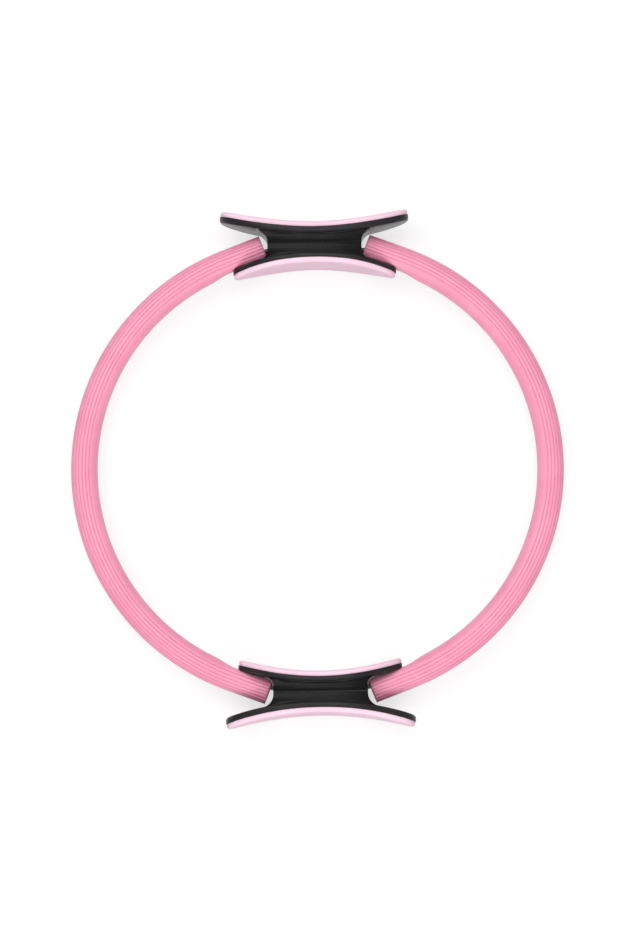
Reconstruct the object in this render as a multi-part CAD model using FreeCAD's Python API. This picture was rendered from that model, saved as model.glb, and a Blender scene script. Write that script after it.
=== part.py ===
import FreeCAD, Part
import math
import os

# Pilates ring, lying flat: the ring's axis is +Z, the two handles are on -Y (front) and +Y (rear), and z = 0
# is the surface that it lies on. Two flat spring bands make the ring. Each is covered by a ribbed sleeve and
# is clamped at both ends between the two moulded shells of a handle, whose curved plates carry the pads.

# Driving dimensions, in millimetres and degrees

# Ring
ring_width = 380.0              # across the outsides of the two sleeves
band_straight = 16.5            # straight run of the bands through the middle of a handle

# Spring bands
band_width = 13.0
band_thickness = 2.6
band_end_gap = 8.0              # between the ends of the two bands in a handle
band_clearance = 0.3            # round a band in a handle

# Sleeves
sleeve_diameter = 20.5
sleeve_end_x = 39.5             # from the middle of the handle to the middle of the sleeve's end
sleeve_end_slope = 20.5         # of the straight end of a sleeve, off the length of the handle
bore_side_clearance = 0.4       # beside a band
bore_slack = 3.1                # above and below a band
groove_count = 14               # round the outer side of a sleeve, whose inner side is smooth
groove_pitch = 16.5             # angle from groove to groove, seen along the sleeve
groove_depth = 0.5
smooth_flats = 4                # flats that make up the smooth inner side
press_gap = 0.3                 # between a sleeve and the inner shell that presses into it

# Handle shells
waist_height = 23.5             # between the two pad seats, at the middle of a handle
waist_offset = 1.85             # of the seam between the shells, outward from the bands
outer_length = 146.0
outer_seat_radius = 240.0
outer_thickness = 4.6
outer_tip_radius = 17.0         # of the plate's ends, seen square to the plate
inner_length = 126.0
inner_seat_radius = 192.0
inner_thickness = 3.8
inner_tip_radius = 14.0
plate_depth = 52.0              # along Z, also the height of the ring as it lies
plate_flat = 40.0               # straight middle stretch of a plate's long sides
plate_edge_bevel = 1.2          # round the neck side of a plate
neck_length = 72.5
neck_depth = 44.0
neck_lobe_radius = 11.0         # of the crowned front and back of each half of the neck
neck_lobe_rise = 4.5            # from the seam to the crown of a half
outer_flare_radius = 10.0       # hollow end of the neck, into the outer plate
inner_flare_radius = 6.0        # hollow end of the neck, into the inner plate
flare_bite = 0.03               # of a flare into its plate, so that the two join
core_wall = 2.8                 # round the cores inside the neck
core_rib = 2.4                  # between the cores
spine_width = 17.0              # solid middle of the neck, which holds the bands and the screw
rail_clearance = 0.4            # beside the clamp rail, in the channel of the bands

# Clamp screw
screw_diameter = 3.5
screw_length = 16.0             # under the head
screw_head_diameter = 7.0
screw_head_height = 2.2
screw_head_sink = 0.5           # of the head below the pad seat
screw_head_clearance = 0.5      # round the head
screw_hole_clearance = 0.3      # round the shank, in the inner shell
screw_bite_clearance = 0.05     # round the shank, in the outer shell
screw_end_clearance = 1.0

# Pads
pad_thickness = 4.0
pad_inset = 0.8                 # from the edge of the plate
pad_edge_bevel = 2.2
glue_film = 0.15

cut_margin = 5.0                # by which a trimming body runs past what it trims

# Places that follow from the sizes
mid_z = plate_depth / 2
arc_x = band_straight / 2
path_radius = ring_width / 2 - sleeve_diameter / 2 - arc_x
band_low = path_radius - band_thickness / 2
band_high = path_radius + band_thickness / 2
seam_y = path_radius + waist_offset
outer_seat_y = seam_y + waist_height / 2
inner_seat_y = seam_y - waist_height / 2
outer_axis_y = outer_seat_y + outer_seat_radius
inner_axis_y = inner_seat_y - inner_seat_radius
outer_back_radius = outer_seat_radius + outer_thickness
inner_back_radius = inner_seat_radius + inner_thickness
head_floor_y = inner_seat_y + screw_head_sink + screw_head_height

Z_AXIS = FreeCAD.Vector(0, 0, 1)
Y_AXIS = FreeCAD.Vector(0, 1, 0)
SAME = 1e-6                     # two sizes closer than this are one


def vec(x, y, z=0.0):
    return FreeCAD.Vector(x, y, z)


def polar(centre, radius, angle):
    """Point in the XY plane at an angle in degrees about a centre."""
    turn = math.radians(angle)
    return centre + vec(radius * math.cos(turn), radius * math.sin(turn))


def line(a, b):
    return Part.LineSegment(a, b).toShape()


def arc(a, middle, b):
    return Part.Arc(a, middle, b).toShape()


def face_of(edges):
    return Part.Face(Part.Wire(edges))


def polygon(corners):
    return Part.Face(Part.makePolygon(corners + corners[:1]))


def box(x0, x1, y0, y1, z0, z1):
    return Part.makeBox(x1 - x0, y1 - y0, z1 - z0, vec(x0, y0, z0))


def cylinder_y(y0, y1, diameter):
    return Part.makeCylinder(diameter / 2, y1 - y0, vec(0, y0, mid_z), Y_AXIS)


def half_turn(shape):
    """Copy turned half way about the ring's axis: from rear to front, or from right to left."""
    turned = shape.copy()
    turned.rotate(vec(0, 0), Z_AXIS, 180)
    return turned


# Plates and pads

def plan_prism(length, depth, tip, y0, y1):
    """Solid with a plate's outline seen along Y: straight middle, sides drawn in by arcs, round ends."""
    flat = plate_flat / 2
    half = depth / 2
    tip_x = length / 2 - tip
    reach = tip_x - flat
    side = (reach ** 2 + half ** 2 - tip ** 2) / (2 * (half - tip))
    side_centre = vec(flat, y0, mid_z + half - side)
    tip_centre = vec(tip_x, y0, mid_z)
    outward = (tip_centre - side_centre).normalize()
    joint = tip_centre + outward * tip
    side_turn = math.atan2(outward.x, outward.z) / 2
    side_middle = side_centre + vec(side * math.sin(side_turn), 0, side * math.cos(side_turn))
    corner = vec(flat, y0, mid_z + half)
    end = vec(length / 2, y0, mid_z)

    def at(point, sx, sz):
        return vec(sx * point.x, y0, mid_z + sz * (point.z - mid_z))

    edges = [line(at(corner, -1, 1), at(corner, 1, 1))]
    edges.append(arc(at(corner, 1, 1), at(side_middle, 1, 1), at(joint, 1, 1)))
    edges.append(arc(at(joint, 1, 1), end, at(joint, 1, -1)))
    edges.append(arc(at(joint, 1, -1), at(side_middle, 1, -1), at(corner, 1, -1)))
    edges.append(line(at(corner, 1, -1), at(corner, -1, -1)))
    edges.append(arc(at(corner, -1, -1), at(side_middle, -1, -1), at(joint, -1, -1)))
    edges.append(arc(at(joint, -1, -1), at(end, -1, 1), at(joint, -1, 1)))
    edges.append(arc(at(joint, -1, 1), at(side_middle, -1, 1), at(corner, -1, 1)))
    return face_of(edges).extrude(vec(0, y1 - y0, 0))


def curved_sheet(axis_y, toward, inner, outer, length, depth, tip):
    """Plate or pad between two radii about an axis along Z, on the side of it that toward (+1, -1) says."""
    spread = math.degrees(math.asin((length / 2 + cut_margin) / inner))
    middle = 90.0 * toward

    def at(radius, angle):
        return polar(vec(0, axis_y), radius, middle + angle)

    edges = [arc(at(inner, -spread), at(inner, 0), at(inner, spread))]
    edges.append(line(at(inner, spread), at(outer, spread)))
    edges.append(arc(at(outer, spread), at(outer, 0), at(outer, -spread)))
    edges.append(line(at(outer, -spread), at(inner, -spread)))
    sheet = face_of(edges).extrude(vec(0, 0, depth + 2 * cut_margin))
    sheet.translate(vec(0, 0, mid_z - depth / 2 - cut_margin))
    low, high = sorted((axis_y + toward * outer, at(inner, spread).y))
    return sheet.common(plan_prism(length, depth, tip, low - cut_margin, high + cut_margin)).Solids[0]


def bevel_rim(solid, radius, bevel):
    """Bevels the rim of the solid's curved face of this radius."""
    rim = []
    for face in solid.Faces:
        if isinstance(face.Surface, Part.Cylinder) and abs(face.Surface.Axis.z) > 1 - SAME:
            if abs(face.Surface.Radius - radius) < SAME:
                rim = face.OuterWire.Edges
    return solid.makeChamfer(bevel, rim).Solids[0]


def plate(axis_y, toward, seat_radius, thickness, length, tip):
    back_radius = seat_radius + thickness
    sheet = curved_sheet(axis_y, toward, seat_radius, back_radius, length, plate_depth, tip)
    return bevel_rim(sheet, back_radius, plate_edge_bevel)


def pad(axis_y, toward, seat_radius, length, tip):
    back = seat_radius - glue_film
    face = back - pad_thickness
    inset = 2 * pad_inset
    sheet = curved_sheet(axis_y, toward, face, back, length - inset, plate_depth - inset, tip - pad_inset)
    return bevel_rim(sheet, face, pad_edge_bevel)


# Neck of a handle

def neck_prism(grow, depth):
    """Neck with hollow ends, seen along Z, that flares into both plates. Grow enlarges it on every side."""
    end_x = neck_length / 2 + grow

    def quarter(axis_y, way, back_radius, thickness, flare_radius):
        """Right-hand points at one plate: the flare's start, middle and end, then the root in the plate."""
        axis = vec(0, axis_y)
        back = back_radius + grow - flare_bite
        radius = flare_radius - grow
        centre_x = end_x + radius
        centre = vec(centre_x, axis_y + way * math.sqrt((back + radius) ** 2 - centre_x ** 2))
        outward = (centre - axis).normalize()
        start = vec(end_x, centre.y)
        touch = axis + outward * back
        corner_way = ((start - centre).normalize() + (touch - centre).normalize()).normalize()
        root_radius = back_radius - thickness / 2
        middle = centre + corner_way * radius
        root = axis + outward * root_radius
        return start, middle, touch, root, axis_y + way * root_radius

    def left(point):
        return vec(-point.x, point.y)

    outer = quarter(outer_axis_y, -1, outer_back_radius, outer_thickness, outer_flare_radius)
    inner = quarter(inner_axis_y, 1, inner_back_radius, inner_thickness, inner_flare_radius)
    edges = [line(inner[0], outer[0]), line(left(outer[0]), left(inner[0]))]
    for start, middle, touch, root, root_y in (outer, inner):
        edges.append(arc(start, middle, touch))
        edges.append(line(touch, root))
        edges.append(arc(root, vec(0, root_y), left(root)))
        edges.append(line(left(root), left(touch)))
        edges.append(arc(left(touch), left(middle), left(start)))
    prism = face_of(Part.__sortEdges__(edges)).extrude(vec(0, 0, depth))
    prism.translate(vec(0, 0, mid_z - depth / 2))
    return prism


def lobed_bar(way):
    """Long bar along X with the crowned section of the neck's outer (way +1) or inner (way -1) half."""
    reach = waist_height / 2
    half = neck_depth / 2
    length = outer_length + inner_length
    crown_y = seam_y + way * neck_lobe_rise
    far_y = seam_y + way * reach
    seam_half = half - neck_lobe_radius + math.sqrt(neck_lobe_radius ** 2 - neck_lobe_rise ** 2)
    far_half = half - neck_lobe_radius + math.sqrt(neck_lobe_radius ** 2 - (reach - neck_lobe_rise) ** 2)

    def at(y, z):
        return vec(-length / 2, y, mid_z + z)

    edges = [arc(at(seam_y, seam_half), at(crown_y, half), at(far_y, far_half))]
    edges.append(line(at(far_y, far_half), at(far_y, -far_half)))
    edges.append(arc(at(far_y, -far_half), at(crown_y, -half), at(seam_y, -seam_half)))
    edges.append(line(at(seam_y, -seam_half), at(seam_y, seam_half)))
    return face_of(edges).extrude(vec(length, 0, 0))


def neck_half(way):
    return neck_prism(0.0, plate_depth).common(lobed_bar(way)).Solids[0]


def neck_cores(y0, y1):
    """Cores that leave even walls in the neck: two rows beside the solid spine, with ribs between them."""
    rib = core_rib / 2
    end_x = neck_length / 2 - core_wall
    rib_x = end_x / 2
    row_z = (spine_width / 2, neck_depth / 2 - core_wall)
    cores = []
    for x0, x1 in ((rib, rib_x - rib), (rib_x + rib, end_x)):
        for sx in (-1, 1):
            for sz in (-1, 1):
                xs = sorted((sx * x0, sx * x1))
                zs = sorted((mid_z + sz * row_z[0], mid_z + sz * row_z[1]))
                cores.append(box(xs[0], xs[1], y0, y1, zs[0], zs[1]))
    return cores


# Handle shells and screw, made for the rear handle

def along_bands(radius, top_y, half_x, half_z):
    """Block over both bands in a handle: its underside follows them at this radius, and its top is flat."""
    end_y = math.sqrt(radius ** 2 - (half_x - arc_x) ** 2)
    middle_x = (half_x + arc_x) / 2
    middle_y = math.sqrt(radius ** 2 - (middle_x - arc_x) ** 2)
    edges = [line(vec(-arc_x, radius), vec(arc_x, radius))]
    edges.append(arc(vec(arc_x, radius), vec(middle_x, middle_y), vec(half_x, end_y)))
    edges.append(line(vec(half_x, end_y), vec(half_x, top_y)))
    edges.append(line(vec(half_x, top_y), vec(-half_x, top_y)))
    edges.append(line(vec(-half_x, top_y), vec(-half_x, end_y)))
    edges.append(arc(vec(-half_x, end_y), vec(-middle_x, middle_y), vec(-arc_x, radius)))
    block = face_of(edges).extrude(vec(0, 0, 2 * half_z))
    block.translate(vec(0, 0, mid_z - half_z))
    return block


def outer_shell():
    """Outer plate, the outer half of the neck and the rail that presses on the bands."""
    wing = plate(outer_axis_y, -1, outer_seat_radius, outer_thickness, outer_length, outer_tip_radius)
    rail = along_bands(band_high + band_clearance, seam_y + core_rib, neck_length / 2,
                       band_width / 2 - rail_clearance)
    shell = wing.fuse([neck_half(1), rail]).removeSplitter()
    cuts = neck_cores(seam_y - core_rib, outer_seat_y - outer_thickness)
    hole_end_y = head_floor_y + screw_length + screw_end_clearance
    cuts.append(cylinder_y(inner_seat_y, hole_end_y, screw_diameter + 2 * screw_bite_clearance))
    return shell.cut(cuts).Solids[0]


def inner_shell():
    """Inner plate and inner half of the neck: a channel for each band, and the screw's boss between them."""
    wing = plate(inner_axis_y, 1, inner_seat_radius, inner_thickness, inner_length, inner_tip_radius)
    shell = wing.fuse(neck_half(-1)).removeSplitter()
    channel = along_bands(band_low - band_clearance, outer_seat_y, neck_length / 2 + inner_flare_radius,
                          band_width / 2 + band_clearance)
    boss_x = band_end_gap / 2 - band_clearance
    boss = box(-boss_x, boss_x, inner_seat_y, band_high, 0, plate_depth)
    cuts = neck_cores(inner_seat_y + inner_thickness, outer_seat_y) + [channel.cut(boss)]
    head_hole = screw_head_diameter + 2 * screw_head_clearance
    cuts.append(cylinder_y(head_floor_y - waist_height, head_floor_y, head_hole))
    cuts.append(cylinder_y(head_floor_y, outer_seat_y, screw_diameter + 2 * screw_hole_clearance))
    return shell.cut(cuts).Solids[0]


def clamp_screw():
    head = cylinder_y(head_floor_y - screw_head_height, head_floor_y, screw_head_diameter)
    shank = cylinder_y(head_floor_y, head_floor_y + screw_length, screw_diameter)
    return head.fuse(shank).removeSplitter().Solids[0]


# Bands and sleeves, made for the right side

def spring_band():
    """Half a ring, run straight at both ends."""
    z0 = mid_z - band_width / 2
    z1 = mid_z + band_width / 2
    section = polygon([vec(arc_x, -band_low, z0), vec(arc_x, -band_high, z0),
                       vec(arc_x, -band_high, z1), vec(arc_x, -band_low, z1)])
    bow = section.revolve(vec(arc_x, 0), Z_AXIS, 180)
    front_end = box(band_end_gap / 2, arc_x, -band_high, -band_low, z0, z1)
    rear_end = box(band_end_gap / 2, arc_x, band_low, band_high, z0, z1)
    return bow.fuse([front_end, rear_end]).removeSplitter().Solids[0]


def sleeve_section():
    """Section in the XZ plane where the sleeve is widest: ribbed outside, smooth inside, flat bore."""
    ridge = sleeve_diameter / 2
    centre = vec(arc_x + path_radius, 0, mid_z)

    def at(angle, radius):
        turn = math.radians(angle)
        return centre + vec(radius * math.cos(turn), 0, radius * math.sin(turn))

    last_groove = (groove_count - 1) / 2 * groove_pitch
    corners = []
    for k in range(groove_count):
        place = k * groove_pitch - last_groove
        corners.append(at(place - groove_pitch / 2, ridge))
        corners.append(at(place, ridge - groove_depth))
    smooth_start = last_groove + groove_pitch / 2
    for k in range(smooth_flats):
        corners.append(at(smooth_start + (360 - 2 * smooth_start) * k / smooth_flats, ridge))
    bore_x = band_thickness / 2 + bore_slack
    bore_z = band_width / 2 + bore_side_clearance
    ways = ((-1, -1), (1, -1), (1, 1), (-1, 1))
    bore = [centre + vec(sx * bore_x, 0, sz * bore_z) for sx, sz in ways]
    return polygon(corners).cut(polygon(bore)).Faces[0]


def pressing_shell():
    """Rear inner shell, larger by the press gap, which a sleeve's end gives way to."""
    wing = curved_sheet(inner_axis_y, 1, inner_seat_radius - press_gap, inner_back_radius + press_gap,
                        inner_length + 2 * press_gap, plate_depth + 2 * press_gap,
                        inner_tip_radius + press_gap)
    return wing.fuse(neck_prism(press_gap, neck_depth))


def sleeve():
    """Arc round the band with straight ends, pressed in by the inner shells."""
    bend = 90 - sleeve_end_slope
    slope = math.radians(sleeve_end_slope)
    section = sleeve_section()
    section.rotate(vec(arc_x, 0), Z_AXIS, -bend)
    bow = section.revolve(vec(arc_x, 0), Z_AXIS, 2 * bend)
    bend_x = arc_x + path_radius * math.sin(slope)
    run = (bend_x - sleeve_end_x) / math.cos(slope)
    front_end = section.extrude(vec(-run * math.cos(slope), -run * math.sin(slope)))
    rear_end = front_end.mirror(vec(0, 0), Y_AXIS)
    tube = bow.fuse([front_end, rear_end]).removeSplitter()
    press = pressing_shell()
    return tube.cut([press, half_turn(press)]).Solids[0]


# Nodes

rear_pieces = {
    "outer_shell": outer_shell(),
    "inner_shell": inner_shell(),
    "outer_pad": pad(outer_axis_y, -1, outer_seat_radius, outer_length, outer_tip_radius),
    "inner_pad": pad(inner_axis_y, 1, inner_seat_radius, inner_length, inner_tip_radius),
    "clamp_screw": clamp_screw(),
}
right_pieces = {
    "sleeve": sleeve(),
    "spring_band": spring_band(),
}

os.makedirs("parts", exist_ok=True)
for name, shape in rear_pieces.items():
    shape.exportStep(f"parts/rear_{name}.step")
    half_turn(shape).exportStep(f"parts/front_{name}.step")
for name, shape in right_pieces.items():
    shape.exportStep(f"parts/right_{name}.step")
    half_turn(shape).exportStep(f"parts/left_{name}.step")
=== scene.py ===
# %% [markdown]
# # A pilates ring, dressed in Blender
# The ring is two springy bands inside ribbed foam sleeves. A black moulded handle joins them at each side,
# and each handle carries two soft pads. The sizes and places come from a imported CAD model, which is loaded
# first and never moved. This lesson makes the soft pieces anew, rounds the edges of the moulded ones, and
# gives every surface its finish.

# %% Load the frame
import math

import bmesh
import bpy
from mathutils import Matrix, Vector


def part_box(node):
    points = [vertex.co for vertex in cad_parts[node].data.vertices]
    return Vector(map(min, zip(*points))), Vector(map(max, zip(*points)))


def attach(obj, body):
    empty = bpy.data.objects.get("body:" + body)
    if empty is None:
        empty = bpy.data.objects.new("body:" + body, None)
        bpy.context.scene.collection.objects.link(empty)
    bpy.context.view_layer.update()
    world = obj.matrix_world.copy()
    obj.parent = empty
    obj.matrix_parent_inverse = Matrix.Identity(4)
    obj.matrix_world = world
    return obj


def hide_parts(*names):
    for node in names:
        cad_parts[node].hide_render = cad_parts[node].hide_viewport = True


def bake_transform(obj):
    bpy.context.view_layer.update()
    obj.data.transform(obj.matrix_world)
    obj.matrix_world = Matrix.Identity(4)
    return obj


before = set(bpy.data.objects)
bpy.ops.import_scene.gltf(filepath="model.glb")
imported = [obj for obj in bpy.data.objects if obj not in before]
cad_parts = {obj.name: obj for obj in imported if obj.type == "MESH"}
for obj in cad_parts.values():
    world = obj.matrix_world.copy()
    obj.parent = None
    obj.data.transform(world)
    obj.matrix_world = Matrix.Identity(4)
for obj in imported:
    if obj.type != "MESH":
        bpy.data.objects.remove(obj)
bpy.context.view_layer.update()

MM = 0.001
FRONT_BODY = "front_handle"
REAR_BODY = "rear_handle"

# %% [markdown]
# ## Sizes read from the frame
# The middle line of a band is a circular arc with a short straight run at each handle. A band's box gives
# both: its reach to the rear is the arc's radius, and its reach to the side is more than that by the offset
# of the arc's middle. The sleeve's thickness follows from the room between the two boxes.

# %% Measure the ring
band_low, band_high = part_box("right_spring_band")
sleeve_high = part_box("right_sleeve")[1]
handle_low, handle_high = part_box("rear_outer_shell")

BAND_THICKNESS = 2.6 * MM
BAND_WIDTH = band_high.z - band_low.z
MID_Z = (handle_low.z + handle_high.z) / 2
ARC_X = band_high.x - band_high.y
PATH_RADIUS = band_high.y - BAND_THICKNESS / 2
SLEEVE_RADIUS = sleeve_high.x - band_high.x + BAND_THICKNESS / 2
print(f"arc radius {PATH_RADIUS / MM:.1f} mm about x = {ARC_X / MM:.2f} mm")
print(f"sleeve {2 * SLEEVE_RADIUS / MM:.1f} mm thick")

# %% [markdown]
# ## Camera
# The photograph looks almost straight down on a ring that lies flat. More of the upper handle's sides shows
# than of the lower handle's, so the camera is a few metres away, not at an endless distance. The ring is
# turned a little in the picture, which is a roll of the camera. Its middle is a few pixels from the middle
# of the picture, so the camera aims beside it by as much.

# %% Place the camera
PICTURE_HEIGHT = 930
PIXEL = 0.771 * MM                      # of the photograph, at the middle of the ring
RING_RIGHT = 7.5                        # pixels from the picture's middle to the ring's
RING_DOWN = 3.6
CAMERA_ELEVATION = math.radians(84.5)
CAMERA_ROLL = math.radians(0.8)
CAMERA_DISTANCE = 4.4
CAMERA_REACH = 100                      # metres, as far as the camera sees
SENSOR_HEIGHT = 36.0

ring_middle = Vector((0, 0, MID_Z))
towards_camera = Vector((0, -math.cos(CAMERA_ELEVATION), math.sin(CAMERA_ELEVATION)))
level_right = Vector((1, 0, 0))
level_up = towards_camera.cross(level_right)
picture_right = level_right * math.cos(CAMERA_ROLL) - level_up * math.sin(CAMERA_ROLL)
picture_up = level_right * math.sin(CAMERA_ROLL) + level_up * math.cos(CAMERA_ROLL)
aim = ring_middle - picture_right * RING_RIGHT * PIXEL + picture_up * RING_DOWN * PIXEL

bpy.ops.object.camera_add()
camera = bpy.context.object
camera.name = "photograph_camera"
camera.data.sensor_fit = "VERTICAL"
camera.data.sensor_height = SENSOR_HEIGHT
camera.data.lens = SENSOR_HEIGHT * CAMERA_DISTANCE / (PICTURE_HEIGHT * PIXEL)
camera.data.clip_end = CAMERA_REACH
camera_turn = Matrix((picture_right, picture_up, towards_camera)).transposed()
camera.matrix_world = Matrix.Translation(aim + towards_camera * CAMERA_DISTANCE) @ camera_turn.to_4x4()
bpy.context.scene.camera = camera
print(f"lens {camera.data.lens:.0f} mm at {CAMERA_DISTANCE} m")

# %% [markdown]
# ## Light
# A wide soft lamp stands beyond the top of the picture, a little to the left, so the shadows fall towards
# its lower edge. A lower one lights the sides that face the lower edge, and one overhead reaches in between
# the plates of the handles. The world fills the rest evenly. The camera sees the world as white, but less of
# it falls on the object, so that the lamps still shape the foam.

# %% Light the scene
FILL_LEVEL = 0.47                       # of the white that the camera sees
KEY_POWER = 46.0                        # watts
KEY_PLACE = Vector((-0.6, 1.75, 2.7))
KEY_SIZE = (3.0, 2.4)                   # metres, along the handles and across
LOW_POWER = 40.0
LOW_PLACE = Vector((0.2, -2.6, 1.75))
LOW_SIZE = (2.6, 0.9)
TOP_POWER = 36.0
TOP_PLACE = Vector((0, 0, 5.0))
TOP_SIZE = (2.6, 2.6)


def light_world():
    world = bpy.data.worlds.new("studio_world")
    bpy.context.scene.world = world
    world.use_nodes = True
    nodes, links = world.node_tree.nodes, world.node_tree.links
    background = nodes["Background"]
    background.inputs["Color"].default_value = (1, 1, 1, 1)
    path = nodes.new("ShaderNodeLightPath")
    level = nodes.new("ShaderNodeMapRange")
    level.inputs["To Min"].default_value = FILL_LEVEL
    level.inputs["To Max"].default_value = 1.0
    links.new(path.outputs["Is Camera Ray"], level.inputs["Value"])
    links.new(level.outputs["Result"], background.inputs["Strength"])


def add_lamp(name, place, size, power):
    bpy.ops.object.light_add(type="AREA", location=place)
    lamp = bpy.context.object
    lamp.name = name
    lamp.data.shape = "RECTANGLE"
    lamp.data.size, lamp.data.size_y = size
    lamp.data.energy = power
    lamp.rotation_euler = (ring_middle - place).to_track_quat("-Z", "Y").to_euler()


bpy.context.scene.view_settings.view_transform = "Standard"
light_world()
add_lamp("key_lamp", KEY_PLACE, KEY_SIZE, KEY_POWER)
add_lamp("low_lamp", LOW_PLACE, LOW_SIZE, LOW_POWER)
add_lamp("top_lamp", TOP_PLACE, TOP_SIZE, TOP_POWER)
print("three lamps and the fill are in place")

# %% [markdown]
# ## Floor
# The ring lies on a white floor and leaves a faint shadow. A white surface would throw much of the light back
# up at the object, so the floor's own shade is a mid grey. White is added to it only for the rays that see it
# directly. The shadow stays, because it lies in the floor's own shading.

# %% Lay the floor
FLOOR_SIZE = 6.0
FLOOR_SHADE = 0.40
FLOOR_WHITE = 0.66                      # added where it is seen, so that the open floor is white
FLOOR_ROUGHNESS = 0.9


def seen_directly(nodes, links):
    """1 for camera and glossy rays, 0 for the rays that carry diffuse light."""
    path = nodes.new("ShaderNodeLightPath")
    either = nodes.new("ShaderNodeMath")
    either.operation = "MAXIMUM"
    links.new(path.outputs["Is Camera Ray"], either.inputs[0])
    links.new(path.outputs["Is Glossy Ray"], either.inputs[1])
    return either.outputs[0]


def add_floor():
    bpy.ops.mesh.primitive_plane_add(size=FLOOR_SIZE, location=(0, 0, 0))
    floor = bpy.context.object
    floor.name = "studio_floor"
    material = bpy.data.materials.new("studio_floor")
    material.use_nodes = True
    nodes, links = material.node_tree.nodes, material.node_tree.links
    shader = nodes["Principled BSDF"]
    shader.inputs["Base Color"].default_value = (FLOOR_SHADE, FLOOR_SHADE, FLOOR_SHADE, 1)
    shader.inputs["Roughness"].default_value = FLOOR_ROUGHNESS
    shader.inputs["Specular IOR Level"].default_value = 0.0
    shader.inputs["Emission Color"].default_value = (1, 1, 1, 1)
    level = nodes.new("ShaderNodeMath")
    level.operation = "MULTIPLY"
    level.inputs[1].default_value = FLOOR_WHITE
    links.new(seen_directly(nodes, links), level.inputs[0])
    links.new(level.outputs[0], shader.inputs["Emission Strength"])
    floor.data.materials.append(material)


add_floor()
print(f"floor of {FLOOR_SIZE} m")

# %% [markdown]
# ## Finishes
# Each finish is a Principled shader whose colour, roughness and bump come from noise at the real scale of the
# surface. Object coordinates are metres here, so a noise scale of 1500 gives grains of about two thirds of a
# millimetre. A value that is the same all over stays on the shader's own socket.

# %% Helpers for the finishes
MIX_COLOURS = (6, 7)                    # the Mix node's inputs for two colours
MIX_RESULT = 2                          # its output for the mixed colour


def from_screen(red, green, blue):
    """A colour as it shows on a screen, 0 to 255, as the linear colour that a shader takes (sRGB)."""
    def linear(value):
        share = value / 255
        return share / 12.92 if share <= 0.04045 else ((share + 0.055) / 1.055) ** 2.4
    return (linear(red), linear(green), linear(blue), 1.0)


class Finish:
    """A material with a Principled shader, and short ways to add noise, colour ranges and bump."""

    def __init__(self, name):
        self.material = bpy.data.materials.new(name)
        self.material.use_nodes = True
        self.nodes = self.material.node_tree.nodes
        self.links = self.material.node_tree.links
        self.shader = self.nodes["Principled BSDF"]
        self.place = self.nodes.new("ShaderNodeTexCoord").outputs["Object"]

    def set(self, **values):
        for name, value in values.items():
            self.shader.inputs[name.replace("_", " ")].default_value = value

    def noise(self, scale, detail=2.0, stretch=None):
        texture = self.nodes.new("ShaderNodeTexNoise")
        texture.inputs["Scale"].default_value = scale
        texture.inputs["Detail"].default_value = detail
        place = self.place
        if stretch:
            mapping = self.nodes.new("ShaderNodeMapping")
            mapping.inputs["Scale"].default_value = stretch
            self.links.new(place, mapping.inputs["Vector"])
            place = mapping.outputs["Vector"]
        self.links.new(place, texture.inputs["Vector"])
        return texture.outputs["Fac"]

    def cells(self, scale):
        texture = self.nodes.new("ShaderNodeTexVoronoi")
        texture.inputs["Scale"].default_value = scale
        self.links.new(self.place, texture.inputs["Vector"])
        return texture.outputs["Distance"]

    def ramp(self, value, low, high, start=0.35, end=0.65):
        node = self.nodes.new("ShaderNodeValToRGB")
        node.color_ramp.elements[0].position = start
        node.color_ramp.elements[0].color = low
        node.color_ramp.elements[1].position = end
        node.color_ramp.elements[1].color = high
        self.links.new(value, node.inputs["Fac"])
        return node.outputs["Color"]

    def spread(self, value, low, high):
        node = self.nodes.new("ShaderNodeMapRange")
        node.inputs["To Min"].default_value = low
        node.inputs["To Max"].default_value = high
        self.links.new(value, node.inputs["Value"])
        return node.outputs["Result"]

    def mix(self, share, first, second):
        node = self.nodes.new("ShaderNodeMix")
        node.data_type = "RGBA"
        self.links.new(share, node.inputs["Factor"])
        for value, number in zip((first, second), MIX_COLOURS):
            if isinstance(value, tuple):
                node.inputs[number].default_value = value
            else:
                self.links.new(value, node.inputs[number])
        return node.outputs[MIX_RESULT]

    def attribute(self, name):
        node = self.nodes.new("ShaderNodeAttribute")
        node.attribute_name = name
        return node.outputs["Fac"]

    def bump(self, heights, distance):
        """Bump from one or more heights, each with its own strength."""
        normal = None
        for height, strength in heights:
            node = self.nodes.new("ShaderNodeBump")
            node.inputs["Strength"].default_value = strength
            node.inputs["Distance"].default_value = distance
            self.links.new(height, node.inputs["Height"])
            if normal:
                self.links.new(normal, node.inputs["Normal"])
            normal = node.outputs["Normal"]
        self.links.new(normal, self.shader.inputs["Normal"])

    def colour(self, output):
        self.links.new(output, self.shader.inputs["Base Color"])

    def roughness(self, output):
        self.links.new(output, self.shader.inputs["Roughness"])


print(f"a mid grey on a screen is {from_screen(128, 128, 128)[0]:.2f} to a shader")

# %% [markdown]
# ### Pink sleeve foam
# The sleeve is extruded foam with a closed, slightly satin skin. Its grooves are painted a deeper pink than
# its ribs, as painted shade in the grooves. A striped texture would have to be laid along the ring, so the
# mesh carries the depth of its grooves as an attribute instead, and the painted shade follows that. Fine
# cells make the skin's bump.

# %% Pink sleeve foam
RIB_COLOURS = (from_screen(247, 151, 182), from_screen(253, 160, 190))
# Painted shade: the grooves' deeper pink stands for the shade that falls in them.
GROOVE_SHADE_COLOURS = (from_screen(224, 123, 156), from_screen(231, 132, 164))
FOAM_GRAIN = 0.3 * MM                   # height of the bump


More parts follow.
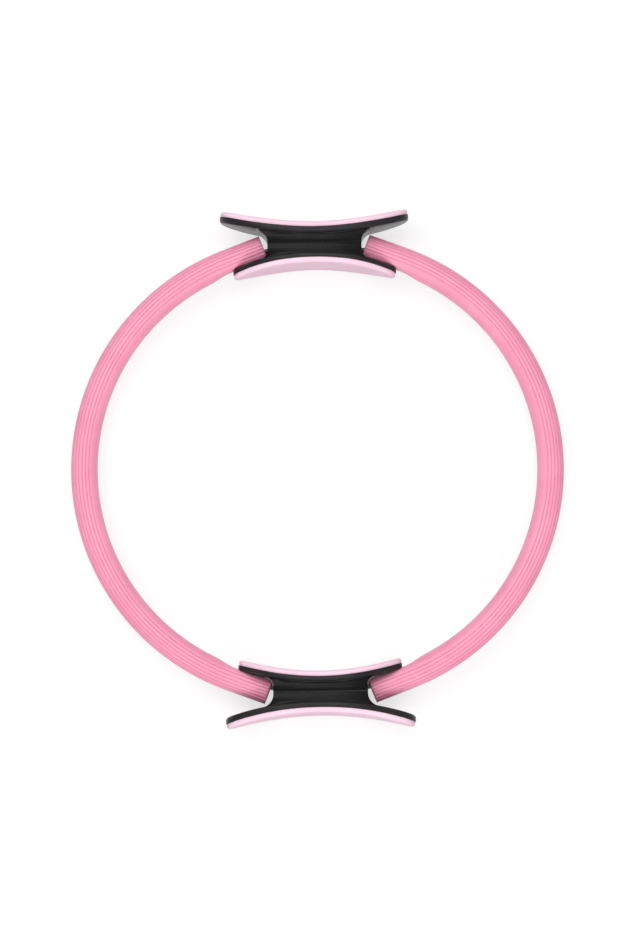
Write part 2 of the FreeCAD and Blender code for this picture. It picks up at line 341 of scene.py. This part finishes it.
def make_sleeve_foam():
    foam = Finish("pink_sleeve_foam")
    rib = foam.ramp(foam.noise(scale=38, detail=3), *RIB_COLOURS)
    groove = foam.ramp(foam.noise(scale=90), *GROOVE_SHADE_COLOURS)
    # The groove attribute mixes in the painted groove shade by the depth of each groove.
    foam.colour(foam.mix(foam.attribute("groove"), rib, groove))
    foam.roughness(foam.spread(foam.noise(scale=260, detail=3), low=0.36, high=0.52))
    foam.set(Sheen_Weight=0.1, Sheen_Roughness=0.4, Specular_IOR_Level=0.8)
    skin_cells = foam.cells(scale=1700)
    grain = foam.noise(scale=600, detail=3)
    foam.bump(((skin_cells, 0.10), (grain, 0.12)), FOAM_GRAIN)
    return foam.material


sleeve_foam = make_sleeve_foam()
print("made", sleeve_foam.name)

# %% [markdown]
# ### Pale pad foam
# The pads are paler and denser, with small open pores on their cut faces. Voronoi cells give the pores, as
# bump and as painted shade at their middles, and a slow noise keeps a large plain face from looking like one
# flat colour.

# %% Pale pad foam
PAD_COLOURS = (from_screen(253, 213, 231), from_screen(255, 222, 238))
# Painted shade: the pits of the pores are coloured a little deeper.
PORE_SHADE_COLOUR = from_screen(250, 202, 223)
PORE_SCALE = 950


def make_pad_foam():
    foam = Finish("pale_pad_foam")
    tone = foam.ramp(foam.noise(scale=30, detail=3), *PAD_COLOURS)
    pores = foam.cells(PORE_SCALE)
    pore_shade_share = foam.spread(foam.spread(pores, low=1.0, high=0.0), low=-0.1, high=0.22)
    foam.colour(foam.mix(pore_shade_share, tone, PORE_SHADE_COLOUR))
    foam.roughness(foam.spread(foam.noise(scale=300, detail=3), low=0.62, high=0.78))
    foam.set(Sheen_Weight=0.15, Sheen_Roughness=0.5, Specular_IOR_Level=0.3)
    grain = foam.noise(scale=420, detail=4)
    foam.bump(((pores, 0.22), (grain, 0.15)), FOAM_GRAIN)
    return foam.material


pad_foam = make_pad_foam()
print("made", pad_foam.name)

# %% [markdown]
# ### Black moulded plastic
# The handles are black plastic, smooth on the neck. The rims of their plates are painted a paler black, as
# painted light on the edges, so the mesh marks the rims with an attribute. A fine grain makes the bump, and
# slow changes in roughness break up the reflections as on handled plastic.

# %% Black moulded plastic
PLAIN_BLACK_COLOURS = (from_screen(11, 11, 12), from_screen(17, 17, 18))
# Painted light: the rims of the plates are coloured paler than the rest of the black.
RIM_LIGHT_COLOURS = (from_screen(38, 36, 38), from_screen(46, 44, 46))
HARD_GRAIN = 0.2 * MM                   # height of the bump on hard surfaces


def make_black_plastic():
    plastic = Finish("black_moulded_plastic")
    tone = plastic.noise(scale=55, detail=4)
    smooth = plastic.ramp(tone, *PLAIN_BLACK_COLOURS)
    rim = plastic.ramp(tone, *RIM_LIGHT_COLOURS)
    # The rim attribute lays the painted light on the plates' rims.
    plastic.colour(plastic.mix(plastic.attribute("rim"), smooth, rim))
    plastic.roughness(plastic.spread(plastic.noise(scale=120, detail=4), low=0.20, high=0.30))
    plastic.set(Specular_IOR_Level=0.15)
    fine_grain = plastic.noise(scale=2600)
    coarse_grain = plastic.noise(scale=700, detail=3)
    plastic.bump(((fine_grain, 0.10), (coarse_grain, 0.05)), HARD_GRAIN)
    return plastic.material


black_plastic = make_black_plastic()
print("made", black_plastic.name)

# %% [markdown]
# ### Glass fibre and steel
# The bands are drawn glass fibre: black resin with faint streaks along the strip. The screws are plain plated
# steel and lie under the pads. One stretched noise serves each of them for colour, roughness and bump,
# because on both the same streaks are seen and felt.

# %% Glass fibre and steel
FIBRE_COLOURS = (from_screen(24, 24, 26), from_screen(38, 38, 40))
STEEL_COLOURS = (from_screen(176, 178, 182), from_screen(204, 206, 210))


def make_glass_fibre():
    fibre = Finish("drawn_glass_fibre")
    streak = fibre.noise(scale=60, detail=4, stretch=(1.0, 1.0, 30.0))
    fibre.colour(fibre.ramp(streak, *FIBRE_COLOURS))
    fibre.roughness(fibre.spread(streak, low=0.22, high=0.36))
    fibre.bump(((streak, 0.08),), HARD_GRAIN)
    return fibre.material


def make_screw_steel():
    steel = Finish("plated_screw_steel")
    grain = steel.noise(scale=900, detail=3, stretch=(1.0, 0.1, 1.0))
    steel.colour(steel.ramp(grain, *STEEL_COLOURS))
    steel.roughness(steel.spread(grain, low=0.28, high=0.42))
    steel.set(Metallic=1.0)
    steel.bump(((grain, 0.06),), HARD_GRAIN)
    return steel.material


glass_fibre = make_glass_fibre()
screw_steel = make_screw_steel()
print("made", glass_fibre.name, "and", screw_steel.name)

# %% [markdown]
# ## Ways of working
# Operators act on whatever is selected, so each step starts from nothing selected. These helpers open a piece
# for editing, pick its vertices by their place, and close it again with clean normals and smooth shading.

# %% Helpers for the pieces
TOUCHING = 0.01 * MM


def open_piece(piece):
    bpy.ops.object.select_all(action="DESELECT")
    piece.select_set(True)
    bpy.context.view_layer.objects.active = piece
    bpy.ops.object.mode_set(mode="EDIT")
    bpy.ops.mesh.select_mode(type="VERT")


def close_piece():
    bpy.ops.object.mode_set(mode="OBJECT")


def pick_vertices(piece, wanted):
    """Selects the vertices of the open piece for which wanted(place) is true."""
    bpy.ops.mesh.select_all(action="DESELECT")
    mesh = bmesh.from_edit_mesh(piece.data)
    picked = 0
    for vertex in mesh.verts:
        if wanted(vertex.co):
            vertex.select_set(True)
            picked += 1
    mesh.select_flush_mode()
    bmesh.update_edit_mesh(piece.data)
    return picked


def apply_place(piece):
    bpy.ops.object.select_all(action="DESELECT")
    piece.select_set(True)
    bpy.context.view_layer.objects.active = piece
    bpy.ops.object.transform_apply(location=True, rotation=True, scale=True)


def tidy_surface(piece, angle):
    """Merges doubles, turns all faces outwards and shades the piece smooth up to an angle in degrees."""
    open_piece(piece)
    bpy.ops.mesh.select_all(action="SELECT")
    bpy.ops.mesh.remove_doubles(threshold=TOUCHING)
    bpy.ops.mesh.normals_make_consistent(inside=False)
    close_piece()
    bpy.ops.object.shade_smooth_by_angle(angle=math.radians(angle))


def dress(piece, material):
    piece.data.materials.clear()
    piece.data.materials.append(material)


def half_turned(piece, name):
    """A copy with its own mesh, turned half way about the ring's axis."""
    copy = piece.copy()
    copy.data = piece.data.copy()
    copy.name = name
    copy.data.name = name
    copy.data.transform(Matrix.Rotation(math.pi, 4, "Z"))
    bpy.context.collection.objects.link(copy)
    return copy


def triangles(piece):
    piece.data.calc_loop_triangles()
    return len(piece.data.loop_triangles)


print(f"points within {TOUCHING / MM:.2f} mm count as one")

# %% [markdown]
# ## Sleeves
# A sleeve is foam tube with lengthwise grooves on its front, outer side and back, and a smooth inner side. A
# ring of vertices makes its section: those on the grooves are drawn in, and a flat slot for the band lies in
# the middle. Spinning the section about the middle of the arc makes the curved run, and extruding both ends
# makes the straight runs that go in between the plates of the handles. A bevelled curve could make the tube
# too, but a spin keeps every groove a true arc. A sleeve is pushed onto its band by hand, so each one sits
# turned on it by a few degrees of its own.

# %% Shape a sleeve's section
SECTION_POINTS = 240
GROOVE_COUNT = 14
GROOVE_PITCH = math.radians(16.5)
GROOVE_STEPS = ((0, 0.50), (1, 0.34), (2, 0.09))     # points from a groove's middle, and depth there in mm

section_middle = Vector((ARC_X + PATH_RADIUS, 0, MID_Z))
point_step = math.tau / SECTION_POINTS
first_groove = -(GROOVE_COUNT - 1) / 2 * GROOVE_PITCH
RIGHT_TURN = -2 * point_step            # on its band, in whole steps to keep the grooves on points
LEFT_TURN = 4 * point_step


def groove_depth(place, turn):
    """Depth of the grooves at a point of the section before it is spun, in metres."""
    angle = math.atan2(place.z - section_middle.z, place.x - section_middle.x) - turn
    number = round((angle - first_groove) / GROOVE_PITCH)
    if not 0 <= number < GROOVE_COUNT:
        return 0.0
    steps = round(abs(angle - first_groove - number * GROOVE_PITCH) / point_step)
    return dict(GROOVE_STEPS).get(steps, 0.0) * MM


def add_sleeve_section(name, turn):
    bpy.ops.object.select_all(action="DESELECT")
    bpy.ops.mesh.primitive_circle_add(
        vertices=SECTION_POINTS, radius=SLEEVE_RADIUS, location=section_middle, rotation=(math.pi / 2, 0, 0)
    )
    sleeve = bpy.context.object
    sleeve.name = name
    apply_place(sleeve)
    open_piece(sleeve)
    bpy.ops.mesh.select_all(action="SELECT")
    # Half a step brings a point to the middle of every groove.
    bpy.ops.transform.rotate(value=point_step / 2, orient_axis="Y", center_override=section_middle)
    for _, depth in GROOVE_STEPS:
        pick_vertices(sleeve, lambda place: abs(groove_depth(place, turn) - depth * MM) < TOUCHING)
        share = 1 - depth * MM / SLEEVE_RADIUS
        bpy.ops.transform.resize(value=(share, share, share), center_override=section_middle)
    close_piece()
    return sleeve


right_sleeve = add_sleeve_section("right_sleeve_foam", RIGHT_TURN)
depths = [SLEEVE_RADIUS - (vertex.co - section_middle).length for vertex in right_sleeve.data.vertices]
print(f"section of {len(depths)} points, grooves {max(depths) / MM:.2f} mm deep")

# %% [markdown]
# The groove depth is kept as an attribute before the section is spun, because every copy of a vertex inherits
# it. The foam's colour reads it for the painted shade in the grooves. The slot is a plane with its face
# deleted and its corners rounded by a vertex bevel.

# %% Add the slot and spin the sleeve
BORE_HALF_X = 4.4 * MM
BORE_HALF_Z = 6.9 * MM
BORE_CORNER = 1.5 * MM
BORE_CORNER_STEPS = 4
SKIN_ROOM = 1.0 * MM                    # a point further in than this isn't on the skin
SLEEVE_SLOPE = math.radians(20.5)       # of the straight runs into the handles
BEND = math.pi / 2 - SLEEVE_SLOPE       # half the angle of the curved run
ARC_STEPS = 120

arc_middle = Vector((ARC_X, 0, MID_Z))


def mark_grooves(sleeve):
    deepest = max(depth for _, depth in GROOVE_STEPS) * MM
    marks = sleeve.data.attributes.new("groove", "FLOAT", "POINT")
    for vertex, mark in zip(sleeve.data.vertices, marks.data):
        mark.value = max(0.0, SLEEVE_RADIUS - (vertex.co - section_middle).length) / deepest


def add_slot(sleeve):
    open_piece(sleeve)
    bpy.ops.mesh.select_all(action="DESELECT")
    bpy.ops.mesh.primitive_plane_add(size=2, location=section_middle, rotation=(math.pi / 2, 0, 0))
    bpy.ops.transform.resize(value=(BORE_HALF_X, 1, BORE_HALF_Z), center_override=section_middle)
    bpy.ops.mesh.delete(type="ONLY_FACE")
    pick_vertices(sleeve, lambda place: (place - section_middle).length < SLEEVE_RADIUS - SKIN_ROOM)
    bpy.ops.mesh.bevel(offset=BORE_CORNER, segments=BORE_CORNER_STEPS, affect="VERTICES")
    close_piece()


def spin_sleeve(sleeve):
    open_piece(sleeve)
    bpy.ops.mesh.select_all(action="SELECT")
    bpy.ops.transform.rotate(value=BEND, orient_axis="Z", center_override=arc_middle)
    bpy.ops.mesh.spin(steps=ARC_STEPS, angle=-2 * BEND, center=arc_middle, axis=(0, 0, 1))
    bpy.ops.mesh.select_all(action="SELECT")
    bpy.ops.mesh.remove_doubles(threshold=TOUCHING)
    close_piece()


mark_grooves(right_sleeve)
add_slot(right_sleeve)
spin_sleeve(right_sleeve)
print("curved run of", len(right_sleeve.data.vertices), "vertices")

# %% [markdown]
# Each end runs on straight into the handle, in short steps that the plate can press later. A bridge between
# the skin and the slot closes the cut end, and a narrow bevel takes the edge off it, as a blade does in foam.

# %% Run the ends straight and close them
SLEEVE_END_X = 39.5 * MM
END_STEPS = 12
END_BEVEL = 0.7 * MM
END_BEVEL_STEPS = 2
run_length = (ARC_X + PATH_RADIUS * math.cos(BEND) - SLEEVE_END_X) / math.cos(SLEEVE_SLOPE)


def in_end_plane(place, sign):
    """True on the plane that ends the curved run at the front (-1) or the rear (+1)."""
    turn = sign * BEND
    along = Vector((-math.sin(turn), math.cos(turn), 0))
    on_side = place.y * sign > 0
    return on_side and abs((place - arc_middle).dot(along)) < TOUCHING


def close_sleeve_end(sleeve, sign):
    direction = Vector((-math.sin(BEND), sign * math.cos(BEND), 0))
    step = direction * run_length / END_STEPS
    open_piece(sleeve)
    pick_vertices(sleeve, lambda place: in_end_plane(place, sign))
    for _ in range(END_STEPS):
        bpy.ops.mesh.extrude_region_move(TRANSFORM_OT_translate={"value": step})
    bpy.ops.mesh.bridge_edge_loops()
    arc_end = arc_middle + Vector((math.cos(BEND), sign * math.sin(BEND), 0)) * PATH_RADIUS
    end = arc_end + direction * run_length

    def on_end_rim(place):
        offset = place - end
        in_plane = abs(offset.dot(direction)) < TOUCHING
        return in_plane and offset.length > SLEEVE_RADIUS - SKIN_ROOM

    picked = pick_vertices(sleeve, on_end_rim)
    bpy.ops.mesh.bevel(offset=END_BEVEL, segments=END_BEVEL_STEPS, affect="EDGES")
    close_piece()
    return picked


rim_points = [close_sleeve_end(right_sleeve, sign) for sign in (-1, 1)]
print(f"straight runs of {run_length / MM:.1f} mm, rims of {rim_points} points")

# %% [markdown]
# The plates of a handle are curved opposite ways about axes that stand upright. The neck between them is
# hollow at its ends and flares out to each plate in a quarter round. The foam has to keep clear of all of
# these, so their curves are worked out here from the handle's sizes.

# %% Measure the plates and the neck
SEAM_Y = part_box("rear_inner_shell")[1].y             # where the two shells of a handle meet
WAIST_HEIGHT = 23.5 * MM                # between the seats of the two pads at the handle's middle
OUTER_SEAT_RADIUS = 240.0 * MM
OUTER_THICKNESS = 4.6 * MM
OUTER_FLARE_RADIUS = 10.0 * MM
INNER_SEAT_RADIUS = 192.0 * MM
INNER_THICKNESS = 3.8 * MM
INNER_FLARE_RADIUS = 6.0 * MM
NECK_HALF_LENGTH = 36.25 * MM

outer_axis_y = SEAM_Y + WAIST_HEIGHT / 2 + OUTER_SEAT_RADIUS
outer_back_radius = OUTER_SEAT_RADIUS + OUTER_THICKNESS
outer_flare_x = NECK_HALF_LENGTH + OUTER_FLARE_RADIUS
outer_flare_y = outer_axis_y - math.sqrt((outer_back_radius + OUTER_FLARE_RADIUS) ** 2 - outer_flare_x ** 2)
inner_axis_y = SEAM_Y - WAIST_HEIGHT / 2 - INNER_SEAT_RADIUS
inner_back_radius = INNER_SEAT_RADIUS + INNER_THICKNESS
inner_flare_x = NECK_HALF_LENGTH + INNER_FLARE_RADIUS
inner_flare_y = inner_axis_y + math.sqrt((inner_back_radius + INNER_FLARE_RADIUS) ** 2 - inner_flare_x ** 2)
print(f"plates curve about y = {outer_axis_y / MM:.1f} and {inner_axis_y / MM:.1f} mm")

# %% [markdown]
# The inner plate of each handle presses into the foam, which gives way and thins beside the plate. So every
# point of the sleeve that would lie in the plate, or in the flare of the neck, is lifted off it. Foam can't
# crease, so the lift sets in softly before the plate touches, and past the plate's tip it fades out slowly.
# The neck's outer flare holds the end of the sleeve back in the same way. A cloth solver could find the dent
# too, but the plate's curve is known, so the lift can be worked out.

# %% Press the sleeve with the inner plates
INNER_HALF_LENGTH = 63.0 * MM
PLATE_BEVEL = 1.2 * MM                  # by which the plate's back gives way at its tip
PRESS_GAP = 0.3 * MM                    # left between foam and plastic
PRESS_SOFT = 0.8 * MM                   # how softly the lift sets in
PRESS_FADE = 18.0 * MM                  # past the tip, where the lift fades out


def smooth_share(value):
    share = min(max(value, 0.0), 1.0)
    return share * share * (3 - 2 * share)


def press_height(x):
    """How far from the ring's middle the inner plate's back, or the neck's flare, reaches at this x."""
    if x >= inner_flare_x:
        bevel = min(max(x - INNER_HALF_LENGTH + PLATE_BEVEL, 0.0), PLATE_BEVEL)
        return inner_axis_y + math.sqrt(inner_back_radius ** 2 - x ** 2) - bevel + PRESS_GAP
    radius = INNER_FLARE_RADIUS - PRESS_GAP
    return inner_flare_y - math.sqrt(max(radius ** 2 - (inner_flare_x - x) ** 2, 0.0))


def neck_end(y):
    """How far along the handle the hollow end of the neck reaches at this y, up to the outer plate."""
    rise = min(max(y - outer_flare_y, 0.0), OUTER_FLARE_RADIUS)
    return outer_flare_x - math.sqrt(OUTER_FLARE_RADIUS ** 2 - rise ** 2) + PRESS_GAP


def press_sleeve(sleeve):
    deepest = 0.0
    for vertex in sleeve.data.vertices:
        x = vertex.co.x
        y = abs(vertex.co.y)
        if x > INNER_HALF_LENGTH + PRESS_FADE:
            continue
        room = press_height(x) - y
        lift = (room + math.hypot(room, PRESS_SOFT)) / 2
        lift *= 1 - smooth_share((x - INNER_HALF_LENGTH) / PRESS_FADE)
        vertex.co.y = math.copysign(y + lift, vertex.co.y)
        vertex.co.x = max(x, neck_end(y + lift))
        deepest = max(deepest, lift)
    return deepest


pressed = press_sleeve(right_sleeve)
print(f"pressed by up to {pressed / MM:.1f} mm")

# %% [markdown]
# The other sleeve is made by the same steps from a section with its own turn, and then moved half way round
# the ring. Each sleeve then has its placement baked into its mesh.

# %% Finish both sleeves
SLEEVE_SHADING = 65                     # degrees between faces that still look smooth


def make_left_sleeve():
    sleeve = add_sleeve_section("left_sleeve_foam", LEFT_TURN)
    mark_grooves(sleeve)
    add_slot(sleeve)
    spin_sleeve(sleeve)
    for sign in (-1, 1):
        close_sleeve_end(sleeve, sign)
    press_sleeve(sleeve)
    sleeve.data.transform(Matrix.Rotation(math.pi, 4, "Z"))
    return sleeve


def bend_between_handles(piece):
    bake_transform(piece)


left_sleeve = make_left_sleeve()
for sleeve, node in ((right_sleeve, "right_sleeve"), (left_sleeve, "left_sleeve")):
    tidy_surface(sleeve, SLEEVE_SHADING)
    dress(sleeve, sleeve_foam)
    bend_between_handles(sleeve)
    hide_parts(node)
print("sleeves of", triangles(right_sleeve), "triangles each")

# %% [markdown]
# ## Spring bands
# A band is a flat strip with slightly rounded edges. Its section is a plane with bevelled corners, extruded
# for the straight end, spun half way round, and extruded again. That is how the strip runs on the real ring,
# so no point has to be moved by hand. It shows only in the short gaps beside the handles.

# %% Make the bands
BAND_EDGE = 0.5 * MM
BAND_EDGE_STEPS = 3
BAND_STEPS = 90
BAND_SHADING = 40                       # degrees between faces that still look smooth


def make_band():
    bpy.ops.object.select_all(action="DESELECT")
    start = Vector((band_low.x, -PATH_RADIUS, MID_Z))
    bpy.ops.mesh.primitive_plane_add(size=1, location=start, rotation=(0, math.pi / 2, 0))
    band = bpy.context.object
    band.name = "right_band_strip"
    band.scale = (BAND_WIDTH, BAND_THICKNESS, 1)
    apply_place(band)
    open_piece(band)
    bpy.ops.mesh.select_all(action="SELECT")
    bpy.ops.mesh.bevel(offset=BAND_EDGE, segments=BAND_EDGE_STEPS, affect="VERTICES")
    bpy.ops.mesh.select_all(action="SELECT")
    straight = Vector((ARC_X - band_low.x, 0, 0))
    bpy.ops.mesh.extrude_region_move(TRANSFORM_OT_translate={"value": straight})
    bpy.ops.mesh.spin(steps=BAND_STEPS, angle=-math.pi, center=arc_middle, axis=(0, 0, 1))
    bpy.ops.mesh.extrude_region_move(TRANSFORM_OT_translate={"value": -straight})
    close_piece()
    tidy_surface(band, BAND_SHADING)
    dress(band, glass_fibre)
    return band


right_band = make_band()
left_band = half_turned(right_band, "left_band_strip")
for band, node in ((right_band, "right_spring_band"), (left_band, "left_spring_band")):
    bend_between_handles(band)
    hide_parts(node)
print("bands of", triangles(right_band), "triangles each")

# %% [markdown]
# ## Pads
# A pad is die-cut from foam sheet: straight in the middle, drawn in along its sides, round at its ends, with
# a soft front edge. It is cut flat and then glued to a curved plate, so it is modelled in the same order: the
# flat outline, its thickness, the rounded edge, and last the bend. Cross cuts give the flat sheet the points
# that a bend needs, and a slight crown fills the middle.

# %% Draw a pad's outline
PLATE_FLAT = 40.0 * MM
PLATE_DEPTH = handle_high.z - handle_low.z
OUTER_HALF_LENGTH = 73.0 * MM
OUTER_TIP_RADIUS = 17.0 * MM
INNER_TIP_RADIUS = 14.0 * MM
PAD_INSET = 0.8 * MM
SIDE_POINTS = 14
TIP_POINTS = 12


def pad_outline(half_length, tip_radius):
    """Points (x, z) round the pad, from the right end of its straight upper side."""
    half = PLATE_DEPTH / 2 - PAD_INSET
    tip = tip_radius - PAD_INSET
    flat = PLATE_FLAT / 2
    tip_x = half_length - PAD_INSET - tip
    reach = tip_x - flat
    side = (reach ** 2 + half ** 2 - tip ** 2) / (2 * (half - tip))
    side_z = half - side
    side_turn = math.atan2(reach, -side_z)
    quarter = []
    for number in range(SIDE_POINTS):
        turn = side_turn * number / SIDE_POINTS
        quarter.append((flat + side * math.sin(turn), side_z + side * math.cos(turn)))
    for number in range(TIP_POINTS):
        turn = side_turn + (math.pi / 2 - side_turn) * number / TIP_POINTS
        quarter.append((tip_x + tip * math.sin(turn), tip * math.cos(turn)))
    end = [(half_length - PAD_INSET, 0.0)]
    right = quarter + end + [(x, -z) for x, z in reversed(quarter)]
    left = [(-x, -z) for x, z in right]
    return right + left


outline = pad_outline(OUTER_HALF_LENGTH, OUTER_TIP_RADIUS)
print("outline of", len(outline), "points")

# %% [markdown]
# The circle primitive brings a face with the right number of points. Each point moves to its place on the
# outline, and the face is extruded to the pad's thickness.

# %% Cut a flat pad
PAD_THICKNESS = 4.0 * MM
PAD_ROUND = 2.2 * MM
PAD_ROUND_STEPS = 5
CUT_STEP_X = 4.0 * MM
CUT_STEP_Z = 6.0 * MM


def cut_flat_pad(name, half_length, tip_radius):
    points = pad_outline(half_length, tip_radius)
    bpy.ops.object.select_all(action="DESELECT")
    bpy.ops.mesh.primitive_circle_add(vertices=len(points), radius=half_length, fill_type="NGON")
    pad = bpy.context.object
    pad.name = name
    for vertex, (x, z) in zip(pad.data.vertices, points):
        vertex.co = (x, 0, MID_Z + z)
    open_piece(pad)
    bpy.ops.mesh.select_all(action="SELECT")
    bpy.ops.mesh.extrude_region_move(TRANSFORM_OT_translate={"value": (0, PAD_THICKNESS, 0)})
    bpy.ops.mesh.region_to_loop()
    bpy.ops.mesh.bevel(offset=PAD_ROUND, segments=PAD_ROUND_STEPS, affect="EDGES")
    cuts_x = int(half_length / CUT_STEP_X)
    cuts_z = int(PLATE_DEPTH / 2 / CUT_STEP_Z)
    for number in range(-cuts_x, cuts_x + 1):
        bpy.ops.mesh.select_all(action="SELECT")
        bpy.ops.mesh.bisect(plane_co=(number * CUT_STEP_X, 0, MID_Z), plane_no=(1, 0, 0))
    for number in range(-cuts_z, cuts_z + 1):
        bpy.ops.mesh.select_all(action="SELECT")
        bpy.ops.mesh.bisect(plane_co=(0, 0, MID_Z + number * CUT_STEP_Z), plane_no=(0, 0, 1))
    close_piece()
    return pad


outer_pad = cut_flat_pad("rear_outer_pad_foam", OUTER_HALF_LENGTH, OUTER_TIP_RADIUS)
inner_pad = cut_flat_pad("rear_inner_pad_foam", INNER_HALF_LENGTH, INNER_TIP_RADIUS)
print("flat pads of", triangles(outer_pad), "and", triangles(inner_pad), "triangles")

# %% [markdown]
# The bend lays each point on a cylinder: its height above the back of the pad becomes a distance from the
# plate's seat, towards the middle of the plate's curve. The outer plate curves away from the ring and the
# inner one towards it, so the two bends go opposite ways.

# %% Bend the pads onto their plates
GLUE_FILM = 0.15 * MM
PAD_CROWN = 0.5 * MM
PAD_SHADING = 40                        # degrees between faces that still look smooth


def bend_pad(pad, half_length, axis_y, seat_radius, toward):
    for vertex in pad.data.vertices:
        x, height, z = vertex.co
        share_x = x / half_length
        share_z = (z - MID_Z) / (PLATE_DEPTH / 2)
        crown = PAD_CROWN * max(0.0, 1 - share_x ** 2) * max(0.0, 1 - share_z ** 2)
        radius = seat_radius - GLUE_FILM - height - crown * height / PAD_THICKNESS
        vertex.co.y = axis_y + toward * math.sqrt(radius ** 2 - x ** 2)
    tidy_surface(pad, PAD_SHADING)
    dress(pad, pad_foam)


bend_pad(outer_pad, OUTER_HALF_LENGTH, outer_axis_y, OUTER_SEAT_RADIUS, -1)
bend_pad(inner_pad, INNER_HALF_LENGTH, inner_axis_y, INNER_SEAT_RADIUS, 1)
front_outer_pad = half_turned(outer_pad, "front_outer_pad_foam")
front_inner_pad = half_turned(inner_pad, "front_inner_pad_foam")
pads = {
    "rear_outer_pad": (outer_pad, REAR_BODY),
    "rear_inner_pad": (inner_pad, REAR_BODY),
    "front_outer_pad": (front_outer_pad, FRONT_BODY),
    "front_inner_pad": (front_inner_pad, FRONT_BODY),
}
for node, (pad, body) in pads.items():
    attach(pad, body)
    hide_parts(node)
print("bent", len(pads), "pads")

# %% [markdown]
# ## Handle shells
# The shells are moulded plastic, and no moulded edge is sharp. Their shape is right in the CAD model, so a
# merged copy of each gets a small round on the edges that show: the rims of the plates, the ends of the neck
# and the seam. A Bevel modifier would round the edges inside as well, so the edges are picked by their place.
# The faces of the rims are marked too, for the painted light that makes them paler.

# %% Pick the edges and rims of a shell
SHARP = math.radians(24)
NECK_SHOWS = 18.0 * MM                  # from the middle plane to where the crowned faces of the neck begin
PLATE_MARGIN = 0.05 * MM                # past a plate's back, where an edge still counts as the plate's
RIM_SLANT = 0.8                         # how far a face of the rim may lean towards the plate's face


def showing_edge(edge, sign, axis_y, back_radius):
    """True for a convex, sharp edge on the outside of a shell. Sign is +1 for the rear handle."""
    if not edge.is_manifold or edge.calc_face_angle_signed() < SHARP:
        return False
    middle = (edge.verts[0].co + edge.verts[1].co) / 2
    from_axis = math.hypot(middle.x, middle.y * sign - axis_y)
    in_plate = from_axis < back_radius + PLATE_MARGIN
    beside_neck = abs(middle.z - MID_Z) > NECK_SHOWS
    return beside_neck or (in_plate and abs(middle.x) > NECK_HALF_LENGTH)


def mark_rims(shell, sign, axis_y, back_radius):
    """Marks the faces round the edge of a plate, which look along the plate and not across it."""
    # These marks carry the painted light on the rims.
    marks = shell.data.attributes.new("rim", "FLOAT", "FACE")
    marked = 0
    for face, mark in zip(shell.data.polygons, marks.data):
        across = Vector((face.center.x, face.center.y * sign - axis_y, 0))
        facing = Vector((face.normal.x, face.normal.y * sign, face.normal.z))
        in_plate = across.length < back_radius
        on_rim = in_plate and abs(facing.dot(across.normalized())) < RIM_SLANT
        mark.value = 1.0 if on_rim else 0.0
        marked += on_rim
    return marked


print(f"edges sharper than {math.degrees(SHARP):.0f} degrees are rounded where they show")

# %% [markdown]
# A CAD node's mesh is loose triangles, so the copy's doubles are merged first: only then do two faces share
# an edge that has an angle. All four shells go through the same steps and stay on their own handle.

# %% Round the shells
EDGE_ROUND = 0.7 * MM
EDGE_ROUND_STEPS = 2
SHELL_SHADING = 35                      # degrees between faces that still look smooth


def round_shell(node, name, sign, axis_y, back_radius):
    shell = bpy.data.objects.new(name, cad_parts[node].data.copy())
    bpy.context.collection.objects.link(shell)
    open_piece(shell)
    bpy.ops.mesh.select_all(action="SELECT")
    bpy.ops.mesh.remove_doubles(threshold=TOUCHING)
    bpy.ops.mesh.select_all(action="DESELECT")
    bpy.ops.mesh.select_mode(type="EDGE")
    mesh = bmesh.from_edit_mesh(shell.data)
    picked = 0
    for edge in mesh.edges:
        if showing_edge(edge, sign, axis_y, back_radius):
            edge.select_set(True)
            picked += 1
    bmesh.update_edit_mesh(shell.data)
    bpy.ops.mesh.bevel(offset=EDGE_ROUND, segments=EDGE_ROUND_STEPS, affect="EDGES", clamp_overlap=True)
    close_piece()
    tidy_surface(shell, SHELL_SHADING)
    marked = mark_rims(shell, sign, axis_y, back_radius)
    dress(shell, black_plastic)
    print(name, "has", picked, "rounded edges,", marked, "rim faces and", triangles(shell), "triangles")
    return shell


layers = (("outer", outer_axis_y, outer_back_radius), ("inner", inner_axis_y, inner_back_radius))
for side, sign, body in (("front", -1, FRONT_BODY), ("rear", 1, REAR_BODY)):
    for layer, axis_y, back_radius in layers:
        node = f"{side}_{layer}_shell"
        shell = round_shell(node, f"{node}_moulding", sign, axis_y, back_radius)
        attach(shell, body)
        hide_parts(node)

# %% [markdown]
# ## Screws
# The clamp screws lie under the inner pads. They are never seen from outside, so their CAD shape stays, with
# the steel finish.

# %% Dress the screws
screws = ("front_clamp_screw", "rear_clamp_screw")
for node in screws:
    dress(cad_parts[node], screw_steel)
print("dressed", len(screws), "screws")
